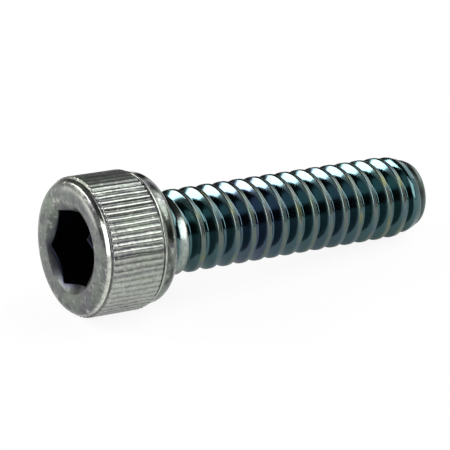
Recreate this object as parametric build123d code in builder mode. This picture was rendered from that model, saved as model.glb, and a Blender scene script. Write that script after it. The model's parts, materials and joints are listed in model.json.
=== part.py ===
from build123d import *
import os
from math import atan2, ceil, cos, pi, radians, sin, tan

# A No. 10-24 by 3/4 inch cap screw with a straight-knurled head and a hexagon socket.
# It is one solid, headed and rolled from one length of wire, and lies on its side as it comes to rest:
# the ends of two knurl ridges and one thread crest near the tip touch the surface at z = 0.
# Every place along the screw is measured from the head's face, towards the tip.
# A step is how far a radius lies inside the crests of the knurl or of the thread.
# All sizes are in millimetres, and all angles in degrees.

inch = 25.4

# Thread: its groove is a V of 60 degrees, less a flat of an eighth at the crest and a quarter at the root
thread_diameter = 4.74
thread_pitch = inch / 24
thread_crest_width = thread_pitch / 8
thread_root_width = thread_pitch / 4
thread_flank_angle = 30
thread_run_in = 0.48
thread_start_angle = 186
under_head_length = 18.30

# Tip, a blunt point of two tapers, which the thread fades out over
tip_length = 1.55
tip_middle_step = 0.195
tip_face_step = 0.49

# Head, its rim eased by two tapers
head_height = 4.74
head_diameter = 7.78
rim_step = 0.15
rim_width = 0.36
rim_length = 0.27
rim_break_width = 0.24
rim_break_length = 0.09
collar_length = 1.14
collar_step = 0.20
collar_bevel = 0.30
under_head_fillet = 0.30

# Straight knurl
ridge_count = 66
ridge_depth = 0.14
ridge_crest_width = 0.09
knurl_start = 0.42
knurl_runout = 0.10

# Neck between the head and the thread
neck_step = 0.27
neck_length = 0.68
neck_taper = 0.20

# Hexagon socket, with one corner turned from the top towards the front
socket_sides = 6
socket_across_flats = 4.03
socket_depth = 2.45
socket_nose_angle = 60
socket_turn = 15
countersink_margin = 0.233
countersink_angle = 60

# Sizes that follow from the ones above
thread_radius = thread_diameter / 2
thread_mouth_width = thread_pitch - thread_crest_width
thread_depth = (thread_mouth_width - thread_root_width) / 2 / tan(radians(thread_flank_angle))
thread_root_radius = thread_radius - thread_depth
head_radius = head_diameter / 2
rim_radius = head_radius - rim_step
face_radius = rim_radius - rim_width
total_length = head_height + under_head_length
tip_start = total_length - tip_length
tip_face_radius = thread_radius - tip_face_step
knurl_end = head_height - collar_length
knurl_groove_half = head_radius * tan(pi / ridge_count) - ridge_crest_width / 2

# Place at rest: the knurl stands on the crests beside its lowest groove, and the thread on its last full crest
rest_radius = (head_radius**2 - knurl_groove_half**2) ** 0.5
tilt = atan2(rest_radius - thread_radius, tip_start - knurl_end)
axis_height = rest_radius * cos(tilt) + knurl_end * sin(tilt)
rest_length = total_length * cos(tilt) + (tip_face_radius + face_radius) * sin(tilt)
face_place = (face_radius * sin(tilt) - rest_length / 2, 0, axis_height)
axis_direction = (cos(tilt), 0, -sin(tilt))

# On "across", z runs down the screw's axis from the head's face, x points up and y to the front.
# On "along", x runs down the axis and y is the distance from it.
across = Plane(origin=face_place, x_dir=(sin(tilt), 0, cos(tilt)), z_dir=axis_direction)
along = Plane(origin=face_place, x_dir=axis_direction, z_dir=(0, -1, 0))
screw_axis = Axis(face_place, axis_direction)

# The punch that forms the socket, pointing up z: a hexagonal prism whose end is ground to a cone
across_corners_radius = socket_across_flats / 2 / cos(pi / socket_sides)
nose_length = across_corners_radius / tan(radians(socket_nose_angle))
with BuildPart() as socket_punch:
    with BuildSketch():
        RegularPolygon(across_corners_radius, socket_sides)
    extrude(amount=socket_depth + nose_length)
    with BuildSketch(Plane.XZ):
        with BuildLine():
            Polyline(
                (0, 0),
                (across_corners_radius, 0),
                (across_corners_radius, socket_depth),
                (0, socket_depth + nose_length),
                close=True,
            )
        make_face()
    revolve(axis=Axis.Z, mode=Mode.INTERSECT)

# The cutter for the countersunk mouth of the socket, its wide end at z = 0
countersink_radius = across_corners_radius + countersink_margin
countersink_depth = countersink_radius / tan(radians(countersink_angle))
with BuildPart() as countersink:
    with BuildSketch(Plane.XZ):
        with BuildLine():
            Polyline((0, 0), (countersink_radius, 0), (0, countersink_depth), close=True)
        make_face()
    revolve(axis=Axis.Z)

# The cutters for the thread: half a turn of the groove about z, and the straight tangent on which it runs out.
# The profile is square to the helix, and reaches a little past the crests so that it cuts them cleanly.
cut_clearance = 0.08
root_half = thread_root_width / 2
mouth_depth = thread_depth + cut_clearance
mouth_half = thread_mouth_width / 2 + cut_clearance * tan(radians(thread_flank_angle))
half_pitch = thread_pitch / 2
half_turn = 180
runout_length = (thread_radius**2 - thread_root_radius**2) ** 0.5 + half_pitch
with BuildLine() as groove_path:
    Helix(pitch=thread_pitch, height=half_pitch, radius=thread_root_radius)
groove_plane = Plane(origin=groove_path.line @ 0, x_dir=(1, 0, 0), z_dir=groove_path.line % 0)
with BuildSketch(groove_plane) as groove_profile:
    with BuildLine():
        Polyline(
            (0, -root_half),
            (mouth_depth, -mouth_half),
            (mouth_depth, mouth_half),
            (0, root_half),
            close=True,
        )
    make_face()
with BuildPart() as groove:
    add(groove_profile.sketch)
    sweep(path=groove_path.line, is_frenet=True)
with BuildPart() as groove_runout:
    add(groove_profile.sketch)
    extrude(amount=-runout_length)

# The thread's half turns, from its start past the neck until it has left the tip
neck_radius = thread_radius - neck_step
neck_end = head_height + neck_length
thread_start = neck_end + neck_taper + thread_run_in
half_turns = ceil((total_length + mouth_half - thread_start) / half_pitch)
groove_places = [
    Location((0, 0, thread_start + turn * half_pitch), (0, 0, thread_start_angle + turn * half_turn))
    for turn in range(half_turns)
]

with BuildPart(across) as cap_screw:
    # The blank: the half outline of the whole screw, turned about its axis
    collar_radius = head_radius - collar_step
    with BuildSketch(along):
        with BuildLine():
            Polyline(
                (0, 0),
                (0, face_radius),
                (rim_break_length, face_radius + rim_break_width),
                (rim_length, rim_radius),
                (knurl_start, head_radius),
                (knurl_end, head_radius),
                (knurl_end, collar_radius),
                (head_height - collar_bevel, collar_radius),
                (head_height, collar_radius - collar_bevel),
                (head_height, neck_radius),
                (neck_end, neck_radius),
                (neck_end + neck_taper, thread_radius),
                (tip_start, thread_radius),
                (tip_start + tip_length / 2, thread_radius - tip_middle_step),
                (total_length, tip_face_radius),
                (total_length, 0),
                (0, 0),
            )
        make_face()
        fillet(vertices().sort_by_distance((head_height, neck_radius))[0], radius=under_head_fillet)
    revolve(axis=screw_axis)

    # Thread
    with Locations(*groove_places):
        add(groove.part, mode=Mode.SUBTRACT)
    with Locations(groove_places[0]):
        add(groove_runout.part, mode=Mode.SUBTRACT)

    # Hexagon socket with its countersunk mouth
    add(countersink.part, mode=Mode.SUBTRACT)
    with Locations(Location((0, 0, 0), (0, 0, socket_turn))):
        add(socket_punch.part, mode=Mode.SUBTRACT)

    # Knurl: straight V grooves, with one at the bottom, so that the head stands on the two ridges beside it
    with BuildSketch(across.offset(rim_length)):
        with PolarLocations(head_radius, ridge_count, start_angle=180):
            Polygon(
                (-ridge_depth, 0),
                (0, -knurl_groove_half),
                (cut_clearance, -knurl_groove_half),
                (cut_clearance, knurl_groove_half),
                (0, knurl_groove_half),
                align=None,
            )
    extrude(amount=knurl_end + knurl_runout - rim_length, mode=Mode.SUBTRACT)

cap_screw.part.label = "cap_screw"
os.makedirs("parts", exist_ok=True)
export_step(cap_screw.part, "parts/cap_screw.step")
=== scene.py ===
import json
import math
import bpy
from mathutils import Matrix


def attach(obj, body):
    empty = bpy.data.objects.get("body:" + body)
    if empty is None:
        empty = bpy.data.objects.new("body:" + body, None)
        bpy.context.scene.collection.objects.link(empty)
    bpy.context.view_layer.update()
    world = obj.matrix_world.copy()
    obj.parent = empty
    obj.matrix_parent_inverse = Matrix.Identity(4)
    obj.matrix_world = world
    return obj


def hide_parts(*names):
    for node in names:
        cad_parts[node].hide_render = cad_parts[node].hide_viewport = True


bl_info = {
    "name": "Knurled Cap Screw",
    "version": (1, 0, 0),
    "blender": (4, 5, 0),
    "location": "View3D > Sidebar > Cap Screw",
    "description": "Models a zinc-plated socket head cap screw on its measured frame",
    "category": "Object",
}

import bpy
import numpy as np
from bpy.props import FloatProperty, FloatVectorProperty, IntProperty, PointerProperty
from mathutils import Matrix, Vector

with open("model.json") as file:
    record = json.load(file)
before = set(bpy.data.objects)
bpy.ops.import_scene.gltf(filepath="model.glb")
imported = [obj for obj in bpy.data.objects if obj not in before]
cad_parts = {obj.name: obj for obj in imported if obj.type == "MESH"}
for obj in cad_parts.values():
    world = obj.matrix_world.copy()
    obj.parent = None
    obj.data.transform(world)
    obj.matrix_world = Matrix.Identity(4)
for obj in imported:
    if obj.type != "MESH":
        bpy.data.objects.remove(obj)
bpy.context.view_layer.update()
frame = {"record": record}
mounts = {mount["name"]: mount for mount in frame["record"]["mounts"]}

# The screw's own frame starts at the middle of the head's face.
# Its z axis runs to the tip, x points up and y to the front.
SCREW_NODE = "cap_screw"
FACE_CENTRE = Vector(mounts["hex_socket"]["pos_m"])
AXIS = -Vector(mounts["hex_socket"]["axis"])
FRONT = Vector((0, -1, 0))
UP = FRONT.cross(AXIS)
BEARING_HEIGHT = (Vector(mounts["bearing_face"]["pos_m"]) - FACE_CENTRE).dot(AXIS)
TIP_HEIGHT = (Vector(mounts["thread"]["pos_m"]) - FACE_CENTRE).dot(AXIS)
THREAD_RADIUS = mounts["thread"]["dims"]["r_mm"] / 1000
SOCKET_DEPTH = mounts["hex_socket"]["dims"]["length_mm"] / 1000
MM = 0.001
FULL_TURN = 2 * math.pi
# A run this much over a whole number of longest runs isn't divided once more
DIVISION_SLACK = 0.01
WAVE_COUNT = 6
WANDER_SEED = 3
DIP_SEED = 5
STRENGTH_SEED = 8
PATCH_SEED = 12
STAIN_SEED = 21


def length(name, description, default):
    """A size in metres that the user can change."""
    return FloatProperty(name=name, description=description, default=default, unit="LENGTH", precision=6)


def colour(name, description, default):
    """A colour that the user can change."""
    return FloatVectorProperty(
        name=name, description=description, default=default, subtype="COLOR", size=3, min=0, max=1
    )


class HeadSizes(bpy.types.PropertyGroup):
    """The cylindrical head with its knurl"""

    head_radius: length("Head Radius", "Radius over the ridges of the knurl", 3.89 * MM)
    face_radius: length("Face Radius", "Radius of the flat face", 3.38 * MM)
    rim_radius: length("Rim Radius", "Radius of the edge in front of the knurl", 3.77 * MM)
    rim_length: length("Rim Length", "Distance from the face to that edge", 0.27 * MM)
    knurl_start: length("Knurl Start", "Distance from the face to the first full section", 0.46 * MM)
    knurl_end: length("Knurl End", "Distance from the face to the end of the ridges", 3.60 * MM)
    ridge_depth: length("Ridge Depth", "Height of the ridges over the grooves", 0.11 * MM)
    ridge_count: IntProperty(name="Ridges", description="Number of ridges around the head", default=66)
    bead_radius: length("Bead Radius", "Radius of the bead behind the knurl", 3.79 * MM)
    collar_radius: length("Collar Radius", "Radius of the smooth collar under the head", 3.69 * MM)
    collar_bevel: length("Collar Bevel", "Width of the eased edge at the bearing face", 0.30 * MM)


class SocketSizes(bpy.types.PropertyGroup):
    """The hexagon socket with its countersunk mouth"""

    across_flats: length("Across Flats", "Distance between opposite flats", 4.03 * MM)
    corner_rounding: length("Corner Rounding", "Radius in the corners of the hexagon", 0.10 * MM)
    countersink_radius: length("Countersink Radius", "Radius of the countersink at the face", 2.56 * MM)
    edge_rounding: length("Edge Rounding", "Width of the rounding at the mouth", 0.05 * MM)
    corner_turn: FloatProperty(
        name="Corner Turn",
        description="Angle of a corner from the top towards the front",
        default=math.radians(15),
        subtype="ANGLE",
    )


class ThreadSizes(bpy.types.PropertyGroup):
    """The neck, the rolled thread and the blunt point"""

    pitch: length("Pitch", "Distance from crest to crest", 25.4 / 24 * MM)
    depth: length("Depth", "Depth of the groove under the crests", 0.56 * MM)
    crest_width: length("Crest Width", "Width of the crest before it is rounded", 0.24 * MM)
    crest_rounding: length("Crest Rounding", "Width of the rounding beside the crest", 0.05 * MM)
    root_rounding: length("Root Rounding", "Width of the rounding beside the root", 0.05 * MM)
    seam_depth: length("Seam Depth", "Depth of the rolling seam along the crest", 0.025 * MM)
    groove_start: length("Groove Start", "Distance from the face at which the groove begins", 6.10 * MM)
    stretch: length("Stretch", "How far the first turns lie towards the head", 0.28 * MM)
    stretch_length: length("Stretch Length", "Length over which the turns even out", 2.4 * MM)
    start_turn: FloatProperty(
        name="Start Turn",
        description="Angle at which the groove begins, from the top towards the front",
        default=math.radians(186),
        subtype="ANGLE",
    )
    neck_radius: length("Neck Radius", "Radius of the neck under the head", 2.10 * MM)
    neck_length: length("Neck Length", "Length of the neck", 0.98 * MM)
    neck_taper: length("Neck Taper", "Length of the step from the neck to the thread", 0.42 * MM)
    fillet: length("Fillet", "Radius of the fillet under the head", 0.30 * MM)
    point_length: length("Point Length", "Length of the tapered point", 1.55 * MM)
    point_radius: length("Point Radius", "Radius of the flat end of the point", 1.88 * MM)


class FinishColours(bpy.types.PropertyGroup):
    """The colours of the zinc plating and the floor"""

    head: colour("Head", "Satin plating on the head", (0.133, 0.163, 0.130))
    head_warm: colour("Head Stain", "Purplish stain on the head", (0.105, 0.104, 0.120))
    thread: colour("Thread", "Glossy plating in the thread", (0.062, 0.122, 0.130))
    thread_sheen: colour("Thread Sheen", "Bluish film on parts of the thread", (0.066, 0.086, 0.138))
    # Rubbed metal, also used for painted highlights on the rim, the bead and the thread's shoulder
    wear_and_highlight: colour("Worn Edges", "Metal that rubbed bare at edges and ridges", (0.57, 0.60, 0.54))
    # Painted shade deep in the socket, and a painted dark reflection on its mouth
    socket: colour("Socket", "Dark, oily socket", (0.012, 0.014, 0.022))
    # Darkens between the ridges and stains the collar; also painted shade in the thread's last groove and at
    # a pit
    grime_and_shade: colour("Grime", "Dirt between the ridges", (0.035, 0.035, 0.032))
    floor: colour("Floor", "Pale floor", (0.9, 0.9, 0.9))


def deselect():
    """Leaves edit mode and selects nothing."""
    if bpy.context.mode != "OBJECT":
        bpy.ops.object.mode_set(mode="OBJECT")
    bpy.ops.object.select_all(action="DESELECT")


def read_points(piece):
    """The piece's vertices as an array."""
    points = np.empty(len(piece.data.vertices) * 3)
    piece.data.vertices.foreach_get("co", points)
    return points.reshape(-1, 3)


def write_points(piece, points):
    """Moves the piece's vertices."""
    piece.data.vertices.foreach_set("co", points.ravel())
    piece.data.update()


def cylindrical(points):
    """Radius, angle from the top towards the front, and distance from the face of each point."""
    return np.hypot(points[:, 0], points[:, 1]), np.arctan2(points[:, 1], points[:, 0]), points[:, 2]


def cartesian(radius, angle, height):
    """The points at these radii, angles and heights."""
    return np.column_stack((radius * np.cos(angle), radius * np.sin(angle), height))


def rounded_outline(corners, steps, longest=None):
    """Points along an outline of (across, along, rounding) corners, with runs over the longest divided."""
    corners = [np.array(corner, float) for corner in corners]
    points = [corners[0][:2]]
    for before, corner, after in zip(corners, corners[1:], corners[2:]):
        place, size = corner[:2], corner[2]
        if size == 0:
            points.append(place)
            continue
        to_before = before[:2] - place
        to_after = after[:2] - place
        first = place + to_before / np.linalg.norm(to_before) * size
        last = place + to_after / np.linalg.norm(to_after) * size
        for step in range(steps + 1):
            share = step / steps
            points.append((1 - share) ** 2 * first + 2 * share * (1 - share) * place + share**2 * last)
    points.append(corners[-1][:2])
    if longest is None:
        return np.array(points)
    divided = [points[0]]
    for start, end in zip(points, points[1:]):
        parts = max(1, math.ceil(np.linalg.norm(end - start) / longest - DIVISION_SLACK))
        divided += [start + (end - start) * part / parts for part in range(1, parts + 1)]
    return np.array(divided)


def smooth_step(low, high, values):
    """Rises from 0 at low to 1 at high, level at both ends."""
    share = np.clip((values - low) / (high - low), 0, 1)
    return share * share * (3 - 2 * share)


def span(values, rise_start, rise_end, fall_start, fall_end):
    """1 from rise_end to fall_start, fading to 0 at rise_start and fall_end."""
    return smooth_step(rise_start, rise_end, values) * smooth_step(fall_end, fall_start, values)


def near(values, middle, width):
    """1 at the middle, fading on both sides in a bell of this width."""
    return np.exp(-(((values - middle) / width) ** 2))


def waves(seed, *coordinates, low=1.0, high=4.0):
    """Smooth seeded unevenness over some coordinates, mostly between -1 and 1."""
    random = np.random.default_rng(seed)
    total = np.zeros_like(coordinates[0], dtype=float)
    for _ in range(WAVE_COUNT):
        phase = random.uniform(0, FULL_TURN)
        for coordinate in coordinates:
            phase = phase + coordinate * random.uniform(low, high) * random.choice((-1, 1))
        total += np.sin(phase)
    return total / WAVE_COUNT**0.5


def turned_shell(name, outline, columns):
    """A shell turned about z: a circle that is extruded and scaled from each (radius, height) to the next."""
    deselect()
    radius, height = outline[0]
    bpy.ops.mesh.primitive_circle_add(vertices=columns, radius=radius, fill_type="NOTHING")
    shell = bpy.context.object
    shell.name = name
    bpy.ops.object.mode_set(mode="EDIT")
    bpy.ops.mesh.select_all(action="SELECT")
    bpy.ops.transform.translate(value=(0, 0, height))
    for next_radius, next_height in outline[1:]:
        bpy.ops.mesh.extrude_edges_move(TRANSFORM_OT_translate={"value": (0, 0, next_height - height)})
        share = next_radius / radius
        bpy.ops.transform.resize(value=(share, share, 1), center_override=(0, 0, next_height))
        radius, height = next_radius, next_height
    bpy.ops.object.mode_set(mode="OBJECT")
    return shell


def nearest_ring(radius, height, outline):
    """The number of the outline's point that each vertex was turned from."""
    ring = np.zeros(len(radius), int)
    best = np.full(len(radius), np.inf)
    for number, (ring_radius, ring_height) in enumerate(outline):
        apart = np.hypot(radius - ring_radius, height - ring_height)
        nearer = apart < best
        ring[nearer] = number
        best[nearer] = apart[nearer]
    return ring


def select_where(piece, chosen):
    """Selects these vertices in edit mode, with the edges and faces between them."""
    deselect()
    piece.select_set(True)
    bpy.context.view_layer.objects.active = piece
    bpy.ops.object.mode_set(mode="EDIT")
    bpy.ops.mesh.select_mode(type="VERT")
    bpy.ops.mesh.select_all(action="DESELECT")
    bpy.ops.object.mode_set(mode="OBJECT")
    piece.data.vertices.foreach_set("select", chosen)
    bpy.ops.object.mode_set(mode="EDIT")
    bpy.ops.mesh.select_mode(type="VERT")


# Head

COLUMNS_PER_RIDGE = 7
# Radius over height on both cones of the socket, its floor and its countersunk mouth
CONE_SLOPE = math.tan(math.radians(60))
FLOOR_RADIUS = 0.04 * MM
SCAR_HEIGHT = 0.71 * MM
SCAR_WIDTH = 0.045 * MM
SCAR_DEPTH = 0.035 * MM
SCAR_RING_SPACING = 0.05 * MM
# Stretches around the head, in degrees from the top towards the front.
# Each fades in between its first two angles and out between its last two.
RUBBED_TOP = (-60, -25, 8, 24)
RUBBED_LOW = (74, 82, 120, 150)
SCARRED = (46, 54, 74, 84)
# Where the rim gets a painted highlight over its wear
RIM_HIGHLIGHT = (30, 55, 125, 155)
WORN_FACE_EDGE = (-35, -8, 38, 58)
# Where the rim's metal becomes smooth, in the same degrees
POLISH_START = (26, 46)
# Two grooves that are deeper than the rest, and their width, in the same degrees
DEEPER_GROOVES = (92.7, 98.2)
DEEPER_GROOVE_WIDTH = 1.6
# How uneven the ridges are: how far they wander as a share of their spacing, the height of the weakest,
# and how deep the dips along them are
RIDGE_WANDER = 0.03
WEAKEST_RIDGE = 0.72
RIDGE_DIPS = 0.16
# Small knocks on the face and its rim, as
# (radius, degrees from the top towards the front, height, width, depth)
KNOCKS = [
    (3.30 * MM, -44, 0.0, 0.12 * MM, 0.035 * MM),
    (2.78 * MM, -39, 0.0, 0.09 * MM, 0.025 * MM),
    (2.70 * MM, -12, 0.0, 0.08 * MM, 0.025 * MM),
    (3.58 * MM, -16, 0.10 * MM, 0.12 * MM, 0.02 * MM),
    (3.45 * MM, 20, 0.03 * MM, 0.12 * MM, 0.03 * MM),
]


def head_outline(head, socket, thread):
    """The head's outline from the floor of the socket to the bearing face."""
    corner_radius = socket.across_flats / 2 / math.cos(math.pi / 6)
    nose_end = SOCKET_DEPTH + corner_radius / CONE_SLOPE
    mouth_height = (socket.countersink_radius - corner_radius) / CONE_SLOPE
    face_middle = ((socket.countersink_radius + head.face_radius) / 2, 0, 0)
    inside = [
        (FLOOR_RADIUS, nose_end - FLOOR_RADIUS / CONE_SLOPE, 0),
        (corner_radius / 2, nose_end - corner_radius / 2 / CONE_SLOPE, 0),
        (corner_radius, SOCKET_DEPTH, 0.12 * MM),
        (corner_radius, mouth_height + 0.9 * MM, 0),
        (corner_radius, mouth_height + 0.3 * MM, 0),
        (corner_radius, mouth_height, 0.045 * MM),
        (socket.countersink_radius, 0, socket.edge_rounding),
        face_middle,
    ]
    rim = head.rim_radius
    rim_back = head.rim_length
    knurl = head.head_radius
    bead = head.bead_radius
    back = head.knurl_end
    collar = head.collar_radius
    outside = [
        # The face and its eased rim
        face_middle,
        (head.face_radius, 0, 0.08 * MM),
        (head.face_radius + 0.26 * MM, 0.105 * MM, 0.07 * MM),
        (rim, rim_back + 0.02 * MM, 0.03 * MM),
        # The fine line between the rim and the knurl
        (rim, rim_back + 0.07 * MM, 0.015 * MM),
        (rim - 0.04 * MM, rim_back + 0.10 * MM, 0.02 * MM),
        (rim - 0.03 * MM, rim_back + 0.14 * MM, 0.018 * MM),
        # The knurl, with rings for the scar
        (knurl, head.knurl_start, 0.03 * MM),
        (knurl, SCAR_HEIGHT - SCAR_RING_SPACING, 0),
        (knurl, SCAR_HEIGHT, 0),
        (knurl, SCAR_HEIGHT + SCAR_RING_SPACING, 0),
        (knurl, back - 0.02 * MM, 0.03 * MM),
        # The bead behind its groove
        (bead - 0.11 * MM, back + 0.05 * MM, 0.03 * MM),
        (bead - 0.09 * MM, back + 0.12 * MM, 0.03 * MM),
        (bead, back + 0.16 * MM, 0.03 * MM),
        (bead, back + 0.26 * MM, 0.05 * MM),
        # The collar, its bevelled edge and the bearing face up to the fillet
        (collar, back + 0.36 * MM, 0.06 * MM),
        (collar - 0.03 * MM, BEARING_HEIGHT - head.collar_bevel, 0.10 * MM),
        (collar - 0.75 * head.collar_bevel, BEARING_HEIGHT, 0.10 * MM),
        (thread.neck_radius + thread.fillet + 0.2 * MM, BEARING_HEIGHT, 0),
    ]
    inside_rings = rounded_outline(inside, steps=3, longest=0.45 * MM)[:-1]
    outside_rings = rounded_outline(outside, steps=3, longest=0.26 * MM)
    return np.vstack((inside_rings, outside_rings))


def hexagon_share(angle, socket):
    """How far the socket's wall lies out at each angle, as a share of its corners' radius."""
    sixth = math.pi / 3
    apothem = socket.across_flats / 2
    corner_radius = apothem / math.cos(sixth / 2)
    from_corner = np.abs((angle - socket.corner_turn + sixth / 2) % sixth - sixth / 2)
    flat = apothem / np.cos(sixth / 2 - from_corner)
    centre = corner_radius - socket.corner_rounding / math.sin(sixth)
    beside = np.maximum(socket.corner_rounding**2 - (centre * np.sin(from_corner)) ** 2, 0) ** 0.5
    rounded = centre * np.cos(from_corner) + beside
    within = centre * np.sin(from_corner) < socket.corner_rounding * math.sin(sixth / 2)
    return np.where(within, rounded, flat) / corner_radius


def knurl_relief(angle, height, head):
    """How deep the surface lies at each place of the knurl, as a share of the full depth."""
    turn = (angle / FULL_TURN) % 1 * head.ridge_count
    along = height / MM
    wander = RIDGE_WANDER * waves(WANDER_SEED, angle * 5, along, low=0.8, high=2.2)
    phase = (turn + wander + 0.5) % 1
    from_groove = np.minimum(phase, 1 - phase) * 2
    relief = 1 - smooth_step(0.15, 0.75, from_groove)
    ridge = np.floor(turn + wander + 0.5)
    random = np.random.default_rng(STRENGTH_SEED)
    strengths = random.uniform(WEAKEST_RIDGE, 1.0, head.ridge_count + 1)
    dips = RIDGE_DIPS * np.clip(waves(DIP_SEED, angle * 9, along * 2.2), 0, 1)
    strength = strengths[ridge.astype(int) % head.ridge_count] * (1 - dips)
    degrees = np.degrees(angle)
    flattened = 0.80 * span(degrees, *RUBBED_TOP) + 0.68 * span(degrees, *RUBBED_LOW)
    deeper = sum(near(degrees, groove, DEEPER_GROOVE_WIDTH) for groove in DEEPER_GROOVES)
    return relief * strength * (1 - flattened + 0.5 * deeper)


def knock_share(points, knock):
    """How near each point is to the middle of a knock, from 0 to 1."""
    radius, degrees, height, width, _ = knock
    turn = math.radians(degrees)
    middle = np.array((radius * math.cos(turn), radius * math.sin(turn), height))
    return np.exp(-((np.linalg.norm(points - middle, axis=1) / width) ** 2))


def scar_share(angle, height):
    """How strongly the scar across the ridges shows at each place."""
    return span(np.degrees(angle), *SCARRED) * near(height, SCAR_HEIGHT, SCAR_WIDTH)


def turn_head(head, socket, thread):
    """The head: turned, its socket pressed to a hexagon and its knurl rolled in."""
    columns = head.ridge_count * COLUMNS_PER_RIDGE
    outline = head_outline(head, socket, thread)
    piece = turned_shell("cap_screw_head", outline, columns)
    radius, angle, height = cylindrical(read_points(piece))
    ring = nearest_ring(radius, height, outline)
    # The rounding at the mouth reaches sin 60 = 0.87 of its width down the cone
    rounding_end = socket.countersink_radius - socket.edge_rounding * 0.87
    in_socket = outline[ring, 0] <= rounding_end - 1e-7
    corner_radius = socket.across_flats / 2 / math.cos(math.pi / 6)
    down_cone = (socket.countersink_radius - radius) / (socket.countersink_radius - corner_radius)
    pressed = np.where(in_socket, np.clip(down_cone, 0, 1), 0)
    # Below its mouth the whole socket is a hexagon
    pressed = np.where(in_socket & (height > 0.3 * MM), 1, pressed)
    pressed_radius = radius * (1 - pressed * (1 - hexagon_share(angle, socket)))
    height = height + (radius - pressed_radius) / CONE_SLOPE
    radius = pressed_radius
    start = smooth_step(head.rim_radius, head.head_radius, radius)
    knurled = (radius > head.rim_radius) & (height > head.rim_length) & (height < head.knurl_end + 0.02 * MM)
    weight = np.where(knurled, start, 0)
    radius = radius - head.ridge_depth * weight * knurl_relief(angle, height, head)
    radius = radius - SCAR_DEPTH * np.where(knurled, scar_share(angle, height), 0)
    points = cartesian(radius, angle, height)
    for knock in KNOCKS:
        points[:, 2] += knock[-1] * knock_share(points, knock)
    write_points(piece, points)
    select_where(piece, radius < 1.5 * FLOOR_RADIUS)
    bpy.ops.mesh.merge(type="CENTER")
    deselect()
    return piece


# Shank

THREAD_COLUMNS = 92
SCREW_TURNS = 20
FLANK_ANGLE = math.radians(30)
# Where the rings beside the crest and the root lie, as a share of the flank
FLANK_MARGIN = 0.16
# Where the rolling seam begins, as a share of the crest's width from its edge
SEAM_EDGE = 0.30
LONGEST_RUNOUT_TURNS = 0.2
FILLET_STEPS = 5
# The rounded end of the point: where it starts, and its loops as (share of the radius, share of the height)
END_HEIGHT = 0.10 * MM
END_START = TIP_HEIGHT - END_HEIGHT
END_LOOPS = [(0.985, 0.45), (0.955, 0.8), (0.90, 1), (0.6, 1), (0.25, 1)]


def thread_outline(thread):
    """One pitch of the thread from crest to crest, as (depth, along) points."""
    flank = thread.depth * math.tan(FLANK_ANGLE)
    half = thread.pitch / 2
    crest = half - thread.crest_width / 2
    root = crest - flank
    far = 1 - FLANK_MARGIN
    side = [
        (thread.depth, root, thread.root_rounding),
        (thread.depth * far, root + flank * FLANK_MARGIN, 0),
        (thread.depth * FLANK_MARGIN, root + flank * far, 0),
        (0, crest, thread.crest_rounding),
        (0, crest + thread.crest_width * SEAM_EDGE, 0.018 * MM),
        (thread.seam_depth, half, 0),
    ]
    other_side = [(depth, -along, rounding) for depth, along, rounding in reversed(side)]
    return rounded_outline(other_side + side, steps=3, longest=0.23 * MM)


def shank_envelope(thread):
    """The plain outline of the neck, shank and point, as (distance from the face, radius) points."""
    neck_end = BEARING_HEIGHT + thread.neck_length
    point_start = TIP_HEIGHT - thread.point_length
    # The point bends just past its middle, where it has come in by 0.4 of its step
    bend_height = point_start + thread.point_length * 0.55
    bend_radius = THREAD_RADIUS * 0.6 + thread.point_radius * 0.4
    return rounded_outline(
        [
            (0, thread.neck_radius, 0),
            (neck_end, thread.neck_radius, 0.08 * MM),
            (neck_end + thread.neck_taper, THREAD_RADIUS, 0.16 * MM),
            (point_start, THREAD_RADIUS, 0.5 * MM),
            (bend_height, bend_radius, 0.4 * MM),
            (TIP_HEIGHT, thread.point_radius, 0),
            (TIP_HEIGHT * 2, thread.point_radius * 0.5, 0),
        ],
        steps=8,
    )


def groove_turn(angle, height, thread):
    """Turns from the start of the groove to the part of it that is nearest to each place."""
    centre = thread.groove_start + (angle - thread.start_turn) / FULL_TURN * thread.pitch
    turn = np.round((height - centre) / thread.pitch)
    return (centre + turn * thread.pitch - thread.groove_start) / thread.pitch


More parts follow.
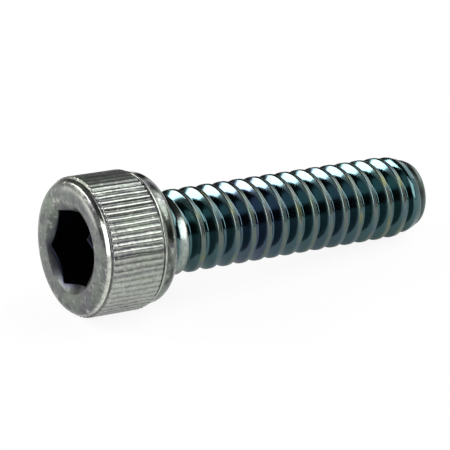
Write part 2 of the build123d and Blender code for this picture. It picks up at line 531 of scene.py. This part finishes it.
def roll_shank(thread):
    """The shank: one pitch of the thread's outline swept up the screw, then held inside the envelope."""
    outline = thread_outline(thread)
    first_crest = thread.groove_start - thread.start_turn / FULL_TURN * thread.pitch - thread.pitch / 2
    start = first_crest - math.ceil((first_crest - BEARING_HEIGHT) / thread.pitch + 2) * thread.pitch
    deselect()
    bpy.ops.mesh.primitive_plane_add(size=MM)
    piece = bpy.context.object
    piece.name = "cap_screw_shank"
    select_where(piece, [True, True, True, True])
    bpy.ops.mesh.merge(type="CENTER")
    places = [(THREAD_RADIUS - depth, start + thread.pitch / 2 + along) for depth, along in outline]
    bpy.ops.transform.translate(value=(places[0][0], 0, places[0][1]))
    for before, after in zip(places, places[1:]):
        step = (after[0] - before[0], 0, after[1] - before[1])
        bpy.ops.mesh.extrude_vertices_move(TRANSFORM_OT_translate={"value": step})
    bpy.ops.object.mode_set(mode="OBJECT")
    sweep = piece.modifiers.new("thread", "SCREW")
    sweep.axis = "Z"
    sweep.angle = FULL_TURN
    sweep.screw_offset = thread.pitch
    sweep.iterations = SCREW_TURNS
    sweep.steps = THREAD_COLUMNS
    sweep.render_steps = THREAD_COLUMNS
    sweep.use_merge_vertices = True
    sweep.merge_threshold = 0.5e-6
    bpy.ops.object.modifier_apply(modifier=sweep.name)
    select_where(piece, [True] * len(piece.data.vertices))
    bpy.ops.mesh.remove_doubles(threshold=1e-6)
    bpy.ops.object.mode_set(mode="OBJECT")

    # The groove runs out on a tangent at its start, and fades before the end of the point
    radius, angle, height = cylindrical(read_points(piece))
    depth = THREAD_RADIUS - radius
    turn = groove_turn(angle, height, thread)
    root_radius = THREAD_RADIUS - thread.depth
    runout = np.clip(-turn, 0, LONGEST_RUNOUT_TURNS) * FULL_TURN
    run_in = np.clip((THREAD_RADIUS - root_radius / np.cos(runout)) / thread.depth, 0, 1)
    run_out = 1 - smooth_step(TIP_HEIGHT - 0.7 * MM, END_START, height)
    radius = THREAD_RADIUS - depth * run_in
    height = height - thread.stretch * near(height, thread.groove_start, thread.stretch_length)
    envelope = shank_envelope(thread)
    limit = np.interp(height, envelope[:, 0], envelope[:, 1])
    radius = np.minimum(radius, limit)
    radius = limit + (radius - limit) * run_out
    write_points(piece, cartesian(radius, angle, height))
    return piece


def cut_shank(piece, thread):
    """Cuts the shank square at both ends, closes its rounded end and spreads its fillet."""
    neck_height = BEARING_HEIGHT + thread.fillet
    select_where(piece, [True] * len(piece.data.vertices))
    bpy.ops.mesh.bisect(plane_co=(0, 0, END_START), plane_no=(0, 0, 1), clear_outer=True, threshold=1e-7)
    radius = np.interp(END_START, *shank_envelope(thread).T)
    for share, rise in END_LOOPS:
        bpy.ops.mesh.extrude_edges_move(TRANSFORM_OT_translate={"value": (0, 0, 0)})
        resize_loop(piece, share * radius, END_START + rise * END_HEIGHT)
    bpy.ops.mesh.merge(type="CENTER")
    bpy.ops.mesh.select_all(action="SELECT")
    bpy.ops.mesh.bisect(plane_co=(0, 0, neck_height), plane_no=(0, 0, 1), clear_inner=True, threshold=1e-7)
    # The fillet stops just short of the bearing face.
    # The bridge to the head would twist if both of its loops were level.
    for step in range(1, FILLET_STEPS):
        turn = step / FILLET_STEPS * math.pi / 2
        bpy.ops.mesh.extrude_edges_move(TRANSFORM_OT_translate={"value": (0, 0, 0)})
        resize_loop(
            piece,
            thread.neck_radius + thread.fillet * (1 - math.cos(turn)),
            neck_height - thread.fillet * math.sin(turn),
        )
    deselect()


def resize_loop(piece, radius, height):
    """Sets the selected loop to a round one of this radius at this height."""
    bpy.ops.object.mode_set(mode="OBJECT")
    chosen = np.empty(len(piece.data.vertices), bool)
    piece.data.vertices.foreach_get("select", chosen)
    points = read_points(piece)
    angle = np.arctan2(points[chosen, 1], points[chosen, 0])
    points[chosen] = cartesian(np.full(len(angle), radius), angle, np.full(len(angle), height))
    write_points(piece, points)
    bpy.ops.object.mode_set(mode="EDIT")


def join_parts(head_piece, shank_piece):
    """Makes the head and the shank one closed shell."""
    deselect()
    head_piece.select_set(True)
    shank_piece.select_set(True)
    bpy.context.view_layer.objects.active = head_piece
    bpy.ops.object.join()
    bpy.ops.object.mode_set(mode="EDIT")
    bpy.ops.mesh.select_mode(type="EDGE")
    bpy.ops.mesh.select_all(action="DESELECT")
    bpy.ops.mesh.select_non_manifold()
    bpy.ops.mesh.bridge_edge_loops()
    bpy.ops.mesh.select_all(action="SELECT")
    bpy.ops.mesh.quads_convert_to_tris(quad_method="BEAUTY", ngon_method="BEAUTY")
    bpy.ops.mesh.normals_make_consistent(inside=False)
    deselect()
    return head_piece


# Masks

# Beyond this radius there is only the head, and no shank
HEAD_ONLY_RADIUS = 3.2 * MM
# Where the painted dark reflection on the socket's mouth is strongest, in radians from the top towards the
# front
DARKEST_MOUTH_ANGLE = -2.62
MOUTH_SHADE_SPREAD = 80
# Bluish bands along the thread, as (distance from the face, width, strength)
SHEEN_BANDS = [(11.2 * MM, 1.9 * MM, 1.0), (16.5 * MM, 1.2 * MM, 0.5)]


def add_mask(piece, name, values):
    """Stores one number for each vertex, which the finish reads."""
    mask = piece.data.attributes.new(name, "FLOAT", "POINT")
    mask.data.foreach_set("value", np.clip(values, 0, 1).astype(np.float32))


def head_masks(points, patchy, head, socket):
    """How satin, rubbed, stained, darkened and polished the head is at each point, with painted highlights
    and painted shade.
    """
    radius, angle, height = cylindrical(points)
    degrees = np.degrees(angle)
    on_face = height < head.knurl_start
    in_knurl = (height > head.rim_length + 0.1 * MM) & (height < head.knurl_end - 0.02 * MM)
    in_socket = (radius < socket.countersink_radius - 0.1 * MM) & (height < BEARING_HEIGHT)
    lifted = 1 - (head.head_radius - radius) / head.ridge_depth
    rubbed = span(degrees, *RUBBED_TOP)

    # Wear, with painted highlights on the rim's front side and along the bead
    ridge_tops = np.where(in_knurl, smooth_step(0.55, 1.0, lifted), 0) * (1 - 0.85 * rubbed)
    rim = near(radius, head.rim_radius - 0.03 * MM, 0.10 * MM)
    rim = rim * near(height, head.rim_length - 0.04 * MM, 0.10 * MM)
    # The rim is lighter on its front and lower side: a painted highlight over wear all round
    rim = rim * (0.25 + 1.3 * span(degrees, *RIM_HIGHLIGHT)) * on_face
    face_edge = near(radius, head.face_radius - 0.07 * MM, 0.16 * MM) * (height < 0.04 * MM)
    face_edge = face_edge * span(degrees, *WORN_FACE_EDGE) * (0.4 + 0.7 * patchy)
    knocks = sum(knock_share(points, knock) for knock in KNOCKS)
    scar = np.where(in_knurl, scar_share(angle, height), 0)
    # The bead is lighter all round its crest: a painted highlight
    bead = near(height, head.knurl_end + 0.21 * MM, 0.06 * MM) * (radius > head.collar_radius)
    back_edge = near(height, BEARING_HEIGHT - 0.12 * MM, 0.10 * MM) * (radius > HEAD_ONLY_RADIUS)
    wear_and_highlight = 0.6 * ridge_tops + rim + 0.8 * bead + 0.4 * back_edge + face_edge + 0.5 * knocks + 0.7 * scar

    # Darker between the ridges, and stains on the collar
    darker_grooves = np.where(in_knurl, smooth_step(0.5, 0.0, lifted), 0) * (0.2 + 0.3 * patchy)
    blotch = smooth_step(0.1, 0.9, waves(STAIN_SEED, angle * 9, height / MM * 7, low=0.7, high=2.0))
    stained = blotch * (height > head.knurl_end + 0.3 * MM) * (height < BEARING_HEIGHT)

    # Painted shade deep in the socket, and a painted dark reflection on the lower back side of its mouth
    dark = in_socket * smooth_step(0.12 * MM, 0.34 * MM, height)
    from_darkest = np.degrees((angle - DARKEST_MOUTH_ANGLE + math.pi) % FULL_TURN - math.pi)
    mouth = socket.countersink_radius
    shaded = 1.3 * near(from_darkest, 0, MOUTH_SHADE_SPREAD) * (height < 1.0 * MM)
    shaded = shaded * smooth_step(mouth - 0.01 * MM, mouth - 0.08 * MM, radius)

    # Smoother metal on the rim and the collar
    on_rim = smooth_step(head.face_radius - 0.02 * MM, head.face_radius + 0.06 * MM, radius) * on_face
    on_rim = on_rim * smooth_step(*POLISH_START, degrees)
    on_collar = smooth_step(head.knurl_end, head.knurl_end + 0.06 * MM, height)
    on_collar = on_collar * (radius > HEAD_ONLY_RADIUS)
    return {
        "satin": 0.9 * rubbed * in_knurl,
        "wear_and_highlight": wear_and_highlight,
        "grime_and_shade": darker_grooves + 0.7 * stained,
        "socket": np.maximum(dark, shaded),
        "polish": np.maximum(on_rim, 0.7 * on_collar),
    }


def shank_masks(points, patchy, thread):
    """How satin the shank is at each point, where its shoulder gets a painted highlight and its last groove
    painted shade, and where its crests and its film are.
    """
    radius, _, height = cylindrical(points)
    on_shank = smooth_step(BEARING_HEIGHT, BEARING_HEIGHT + 0.1 * MM, height)
    tip = smooth_step(TIP_HEIGHT - 0.9 * MM, TIP_HEIGHT - 0.3 * MM, height)
    end_face = smooth_step(END_START, TIP_HEIGHT - 0.02 * MM, height)
    crest = smooth_step(THREAD_RADIUS - 0.10 * MM, THREAD_RADIUS - 0.01 * MM, radius) * on_shank
    # The shoulder at the end of the neck is lighter all round: a painted highlight
    shoulder_middle = BEARING_HEIGHT + thread.neck_length + thread.neck_taper * 0.65
    shoulder = near(height, shoulder_middle, 0.24 * MM) * (radius > thread.neck_radius + 0.02 * MM)
    sheen = sum(strength * near(height, middle, width) for middle, width, strength in SHEEN_BANDS)
    under_envelope = np.interp(height, *shank_envelope(thread).T) - radius
    # Painted shade in the last groove before the point
    last_groove_shade = smooth_step(TIP_HEIGHT - 1.1 * MM, TIP_HEIGHT - 0.8 * MM, height)
    last_groove_shade = last_groove_shade * (height < END_START - 0.01 * MM)
    last_groove_shade = last_groove_shade * smooth_step(0.01 * MM, 0.07 * MM, under_envelope)
    return {
        "satin": tip + 0.35 * shoulder,
        "sheen": sheen * (0.5 + 0.5 * patchy) * on_shank,
        "wear_and_highlight": 0.55 * shoulder,
        "grime_and_shade": 0.55 * last_groove_shade,
        "shank": on_shank,
        "crest": np.maximum(crest, tip * (1 - 0.6 * end_face)),
    }


def mark_finish(piece, head, socket, thread):
    """Marks where the plating is rubbed, dark or glossy, and where highlights and shade are painted."""
    points = read_points(piece)
    radius, angle, height = cylindrical(points)
    patchy = 0.5 + 0.5 * waves(PATCH_SEED, angle * 3, height / MM * 2, radius / MM * 2)
    masks = head_masks(points, patchy, head, socket)
    for name, values in shank_masks(points, patchy, thread).items():
        masks[name] = masks.get(name, 0) + values
    for name, values in masks.items():
        add_mask(piece, name, values)


# Finish

HEAD_ROUGHNESS = 0.30
POLISHED_ROUGHNESS = 0.15
CREST_ROUGHNESS = 0.26
SATIN_ROUGHNESS = 0.42
# The film's colours on the crests, as (place on the noise, colour)
FILM_STOPS = [
    (0.32, (0.165, 0.18, 0.10)),
    (0.43, (0.105, 0.155, 0.14)),
    (0.50, (0.125, 0.14, 0.13)),
    (0.57, (0.10, 0.15, 0.145)),
    (0.70, (0.085, 0.125, 0.155)),
]
# Painted shade of a small pit in the thread's first turn, which has no dent in the surface
PIT_INSIDE = 0.035 * MM
PIT_OUTSIDE = 0.065 * MM
PIT_HEIGHT = 5.93 * MM
PIT_ANGLE = math.radians(69)
PIT_DIRECTION = UP * math.cos(PIT_ANGLE) + FRONT * math.sin(PIT_ANGLE)
PIT_PLACE = FACE_CENTRE + AXIS * PIT_HEIGHT + PIT_DIRECTION * THREAD_RADIUS


def add_node(tree, kind, inputs=None, **settings):
    """A node with its settings, and with each input given as a value or as another node's output."""
    node = tree.nodes.new(kind)
    for name, value in settings.items():
        setattr(node, name, value)
    for name, value in (inputs or {}).items():
        socket = node.inputs[name]
        if isinstance(value, bpy.types.NodeSocket):
            tree.links.new(value, socket)
        else:
            socket.default_value = value
    return node


def mask_value(tree, name):
    """The number that add_mask stored under this name."""
    return add_node(tree, "ShaderNodeAttribute", attribute_name=name).outputs["Fac"]


def noise_value(tree, scale, detail=3.0, roughness=0.5, offset=0.0):
    """Noise on the object's coordinates, with its scale in waves to a metre."""
    place = add_node(tree, "ShaderNodeTexCoord").outputs["Object"]
    moved = add_node(
        tree, "ShaderNodeMapping", {"Vector": place, "Location": (offset, offset, offset)}
    ).outputs["Vector"]
    return add_node(
        tree,
        "ShaderNodeTexNoise",
        {"Vector": moved, "Scale": scale, "Detail": detail, "Roughness": roughness},
    ).outputs["Fac"]


def ranged(tree, value, low, high, to_low=0.0, to_high=1.0):
    """The value taken from one range to another, and held at its ends."""
    return add_node(
        tree,
        "ShaderNodeMapRange",
        {"Value": value, "From Min": low, "From Max": high, "To Min": to_low, "To Max": to_high},
    ).outputs["Result"]


def times(tree, first, second):
    """The product of two numbers."""
    node = add_node(tree, "ShaderNodeMath", operation="MULTIPLY", use_clamp=True)
    for socket, value in zip(node.inputs, (first, second)):
        if isinstance(value, bpy.types.NodeSocket):
            tree.links.new(value, socket)
        else:
            socket.default_value = value
    return node.outputs["Value"]


def blended(tree, share, first, second, kind="RGBA"):
    """Two colours or numbers mixed by a share."""
    node = add_node(tree, "ShaderNodeMix", data_type=kind)
    names = {"RGBA": ("A_Color", "B_Color", "Result_Color"), "FLOAT": ("A_Float", "B_Float", "Result_Float")}
    sockets = {socket.identifier: socket for socket in list(node.inputs) + list(node.outputs)}
    first_name, second_name, result_name = names[kind]
    for name, value in (("Factor_Float", share), (first_name, first), (second_name, second)):
        if isinstance(value, bpy.types.NodeSocket):
            tree.links.new(value, sockets[name])
        else:
            sockets[name].default_value = value
    return sockets[result_name]


def opaque(value):
    """A colour as the four numbers that a socket takes."""
    return (*value, 1.0)


def head_colour(tree, colours, grain):
    """The head's satin plating: clouded, grained, stained and scuffed."""
    cloud = ranged(tree, noise_value(tree, scale=420, detail=4), low=0.38, high=0.66)
    shade = blended(tree, cloud, opaque(colours.head), opaque(colours.head_warm))
    grained = ranged(tree, grain, low=0.3, high=0.75, to_high=0.22)
    shade = blended(tree, grained, shade, opaque(colours.wear_and_highlight))
    stain = noise_value(tree, scale=1500, detail=3, roughness=0.6, offset=0.7)
    stain = ranged(tree, stain, low=0.50, high=0.64, to_high=0.85)
    shade = blended(tree, stain, shade, opaque(colours.head_warm))
    scuff = noise_value(tree, scale=2300, detail=4, roughness=0.7, offset=0.5)
    scuff = ranged(tree, scuff, low=0.57, high=0.68, to_high=0.55)
    return blended(tree, scuff, shade, opaque(colours.wear_and_highlight))


def thread_colour(tree, colours, crest):
    """The thread's glossy plating: bluish in places, with a film of changing colour on its crests."""
    film = add_node(tree, "ShaderNodeValToRGB", {"Fac": noise_value(tree, scale=900, detail=2, offset=0.3)})
    ramp = film.color_ramp
    while len(ramp.elements) < len(FILM_STOPS):
        ramp.elements.new(0.5)
    for element, (position, shade) in zip(ramp.elements, FILM_STOPS):
        element.position = position
        element.color = opaque(shade)
    flank = blended(tree, mask_value(tree, "sheen"), opaque(colours.thread), opaque(colours.thread_sheen))
    return blended(tree, crest, flank, film.outputs["Color"])


def pit_share(tree):
    """How strongly the pit's painted shade shows at each place."""
    place = add_node(tree, "ShaderNodeTexCoord").outputs["Object"]
    distance = add_node(tree, "ShaderNodeVectorMath", {0: place, 1: PIT_PLACE}, operation="DISTANCE")
    return ranged(tree, distance.outputs["Value"], PIT_INSIDE, PIT_OUTSIDE, to_low=0.9, to_high=0.0)


def plating_roughness(tree, crest):
    """The roughness of the plating, each mask laid over the ones before it."""
    rough = blended(tree, mask_value(tree, "polish"), HEAD_ROUGHNESS, POLISHED_ROUGHNESS, kind="FLOAT")
    rough = blended(tree, mask_value(tree, "shank"), rough, POLISHED_ROUGHNESS, kind="FLOAT")
    rough = blended(tree, crest, rough, CREST_ROUGHNESS, kind="FLOAT")
    return blended(tree, mask_value(tree, "satin"), rough, SATIN_ROUGHNESS, kind="FLOAT")


def zinc_plate(colours):
    """Zinc plating: satin and stained on the head, glossy in the thread, rubbed at the edges, with painted
    highlights and painted shade.
    """
    material = bpy.data.materials.new("zinc_plate")
    material.use_nodes = True
    tree = material.node_tree
    shader = tree.nodes["Principled BSDF"]
    shader.inputs["Metallic"].default_value = 1.0
    grain = noise_value(tree, scale=5200, detail=3)
    crest = mask_value(tree, "crest")
    shank = mask_value(tree, "shank")
    base = blended(tree, shank, head_colour(tree, colours, grain), thread_colour(tree, colours, crest))
    # Stains, darker grooves, and painted shade in the thread's last groove
    base = blended(tree, mask_value(tree, "grime_and_shade"), base, opaque(colours.grime_and_shade))
    # Wear, and painted highlights on the rim, the bead and the thread's shoulder
    wear_and_highlight = times(tree, mask_value(tree, "wear_and_highlight"), ranged(tree, grain, low=0.2, high=0.6, to_low=0.4))
    base = blended(tree, wear_and_highlight, base, opaque(colours.wear_and_highlight))
    # Painted shade in the socket and a painted dark reflection on its mouth
    base = blended(tree, mask_value(tree, "socket"), base, opaque(colours.socket))
    # Painted shade of the pit
    base = blended(tree, pit_share(tree), base, opaque(colours.grime_and_shade))
    tree.links.new(base, shader.inputs["Base Color"])
    tree.links.new(plating_roughness(tree, crest), shader.inputs["Roughness"])
    height = times(tree, grain, ranged(tree, shank, low=0, high=1, to_low=1.0, to_high=0.15))
    bump = add_node(tree, "ShaderNodeBump", {"Height": height, "Strength": 0.25, "Distance": 0.02 * MM})
    tree.links.new(bump.outputs["Normal"], shader.inputs["Normal"])
    return material


class OBJECT_OT_cap_screw(bpy.types.Operator):
    """Model the cap screw in place of its plain solid"""

    bl_idname = "object.cap_screw"
    bl_label = "Cap Screw"
    bl_options = {"REGISTER", "UNDO"}

    def execute(self, context):
        scene = context.scene
        head, socket, thread = scene.screw_head, scene.screw_socket, scene.screw_thread
        head_piece = turn_head(head, socket, thread)
        shank_piece = roll_shank(thread)
        cut_shank(shank_piece, thread)
        screw = join_parts(head_piece, shank_piece)
        screw.name = "plated_cap_screw"
        screw.data.name = screw.name
        mark_finish(screw, head, socket, thread)
        place = Matrix((UP, FRONT, AXIS)).transposed().to_4x4()
        place.translation = FACE_CENTRE
        screw.matrix_world = place
        deselect()
        screw.select_set(True)
        context.view_layer.objects.active = screw
        bpy.ops.object.transform_apply(location=True, rotation=True, scale=True)
        bpy.ops.object.shade_smooth()
        screw.data.materials.append(zinc_plate(scene.screw_finish))
        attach(screw, "root")
        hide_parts(SCREW_NODE)
        return {"FINISHED"}


# Stage

LAMP_DISTANCE = 0.5
WHITE = (1.0, 1.0, 1.0)
# The lamps, as (name, direction from the screw, width and height in degrees, radiance, colour)
LAMPS = [
    ("back_left_panel", (-0.617, 0.632, 0.469), (33, 18), 15, (1.0, 0.94, 0.94)),
    ("top_panel", (0.55, -0.227, 0.803), (54, 38), 3.4, WHITE),
    ("front_left_panel", (-0.60, -0.68, 0.43), (52, 44), 4, WHITE),
    ("left_fill", (-0.93, 0.13, 0.34), (37, 32), 0.6, WHITE),
    ("right_fill", (0.97, -0.20, 0.17), (50, 30), 0.9, WHITE),
    ("back_right_fill", (0.85, 0.36, 0.38), (44, 26), 1.5, WHITE),
]
# How much of the floor's look is plain white, to the camera and in reflections
SEEN_WHITE = 0.9
MIRRORED_WHITE = 0.35


class StageSizes(bpy.types.PropertyGroup):
    """The camera, the floor and the world"""

    azimuth: FloatProperty(
        name="Azimuth", description="Camera angle about Z", default=math.radians(-33.72), subtype="ANGLE"
    )
    elevation: FloatProperty(
        name="Elevation",
        description="Camera angle over the floor",
        default=math.radians(22.74),
        subtype="ANGLE",
    )
    camera_distance: length("Distance", "Camera distance from the head's face", 143.21 * MM)
    camera_right: length("Right", "Camera offset to the right of the head's face", 8.406 * MM)
    camera_up: length("Up", "Camera offset above the head's face", 1.278 * MM)
    lens: FloatProperty(name="Lens", description="Focal length in millimetres", default=211.6)
    floor_radius: length("Floor Radius", "Radius of the floor", 3.0)
    world_strength: FloatProperty(name="World", description="Strength of the dim world", default=0.03)


def place_camera(stage):
    """The camera at the photograph's viewing angle."""
    side, rise = stage.azimuth, stage.elevation
    back = Vector((math.sin(side) * math.cos(rise), -math.cos(side) * math.cos(rise), math.sin(rise)))
    right = Vector((math.cos(side), math.sin(side), 0))
    up = back.cross(right)
    bpy.ops.object.camera_add()
    camera = bpy.context.object
    place = Matrix((right, up, back)).transposed().to_4x4()
    place.translation = (
        FACE_CENTRE + right * stage.camera_right + up * stage.camera_up + back * stage.camera_distance
    )
    camera.matrix_world = place
    camera.data.lens = stage.lens
    camera.data.sensor_width = 36
    camera.data.clip_start = 0.01
    bpy.context.scene.camera = camera


def add_lamp(name, direction, spread, radiance, shade):
    """A soft area lamp that faces the screw, as bright as its radiance where a mirror shows it."""
    direction = Vector(direction).normalized()
    size = [2 * LAMP_DISTANCE * math.tan(math.radians(angle) / 2) for angle in spread]
    bpy.ops.object.light_add(type="AREA", location=direction * LAMP_DISTANCE)
    lamp = bpy.context.object
    lamp.name = name
    lamp.rotation_euler = direction.to_track_quat("Z", "Y").to_euler()
    lamp.data.shape = "RECTANGLE"
    lamp.data.size, lamp.data.size_y = size
    lamp.data.energy = radiance * math.pi * size[0] * size[1]
    lamp.data.color = shade


def floor_material(shade):
    """A pale matt floor that stays white to the eye and in reflections, with a soft shadow."""
    material = bpy.data.materials.new("pale_floor")
    material.use_nodes = True
    tree = material.node_tree
    tree.nodes.remove(tree.nodes["Principled BSDF"])
    output = tree.nodes["Material Output"]
    matt = add_node(tree, "ShaderNodeBsdfDiffuse", {"Color": opaque(shade)})
    white = add_node(tree, "ShaderNodeEmission", {"Color": (1, 1, 1, 1), "Strength": 1.0})
    rays = add_node(tree, "ShaderNodeLightPath")
    mirrored = add_node(tree, "ShaderNodeMath", operation="MAXIMUM")
    tree.links.new(rays.outputs["Is Glossy Ray"], mirrored.inputs[0])
    tree.links.new(rays.outputs["Is Transmission Ray"], mirrored.inputs[1])
    seen = times(tree, rays.outputs["Is Camera Ray"], SEEN_WHITE)
    share = blended(tree, mirrored.outputs["Value"], seen, MIRRORED_WHITE, kind="FLOAT")
    mixed = add_node(tree, "ShaderNodeMixShader")
    tree.links.new(share, mixed.inputs["Fac"])
    tree.links.new(matt.outputs["BSDF"], mixed.inputs[1])
    tree.links.new(white.outputs["Emission"], mixed.inputs[2])
    tree.links.new(mixed.outputs["Shader"], output.inputs["Surface"])
    return material


class SCENE_OT_screw_stage(bpy.types.Operator):
    """Set the floor, the lamps, the world and the camera"""

    bl_idname = "scene.screw_stage"
    bl_label = "Stage"
    bl_options = {"REGISTER", "UNDO"}

    def execute(self, context):
        scene = context.scene
        stage = scene.screw_stage
        deselect()
        bpy.ops.mesh.primitive_circle_add(vertices=64, radius=stage.floor_radius, fill_type="NGON")
        floor = context.object
        floor.name = "floor"
        floor.data.materials.append(floor_material(scene.screw_finish.floor))
        for lamp in LAMPS:
            add_lamp(*lamp)
        place_camera(stage)
        world = bpy.data.worlds.new("dim_room")
        world.use_nodes = True
        scene.world = world
        background = world.node_tree.nodes["Background"]
        background.inputs["Color"].default_value = (1, 1, 1, 1)
        background.inputs["Strength"].default_value = stage.world_strength
        scene.view_settings.view_transform = "Standard"
        deselect()
        return {"FINISHED"}


class VIEW3D_PT_cap_screw(bpy.types.Panel):
    """The sizes, colours and steps of the cap screw"""

    bl_label = "Cap Screw"
    bl_idname = "VIEW3D_PT_cap_screw"
    bl_space_type = "VIEW_3D"
    bl_region_type = "UI"
    bl_category = "Cap Screw"

    def draw(self, context):
        layout = self.layout
        for group in SCENE_GROUPS:
            box = layout.box()
            box.label(text=SCENE_GROUPS[group].__doc__)
            settings = getattr(context.scene, group)
            for name in SCENE_GROUPS[group].__annotations__:
                box.prop(settings, name)
        layout.operator(OBJECT_OT_cap_screw.bl_idname)
        layout.operator(SCENE_OT_screw_stage.bl_idname)


SCENE_GROUPS = {
    "screw_head": HeadSizes,
    "screw_socket": SocketSizes,
    "screw_thread": ThreadSizes,
    "screw_finish": FinishColours,
    "screw_stage": StageSizes,
}
CLASSES = [*SCENE_GROUPS.values(), OBJECT_OT_cap_screw, SCENE_OT_screw_stage, VIEW3D_PT_cap_screw]


def register():
    for item in CLASSES:
        bpy.utils.register_class(item)
    for name, group in SCENE_GROUPS.items():
        setattr(bpy.types.Scene, name, PointerProperty(type=group))


def unregister():
    for name in SCENE_GROUPS:
        delattr(bpy.types.Scene, name)
    for item in reversed(CLASSES):
        bpy.utils.unregister_class(item)


def main():
    register()
    bpy.ops.scene.screw_stage()
    bpy.ops.object.cap_screw()


if __name__ == "__main__":
    main()
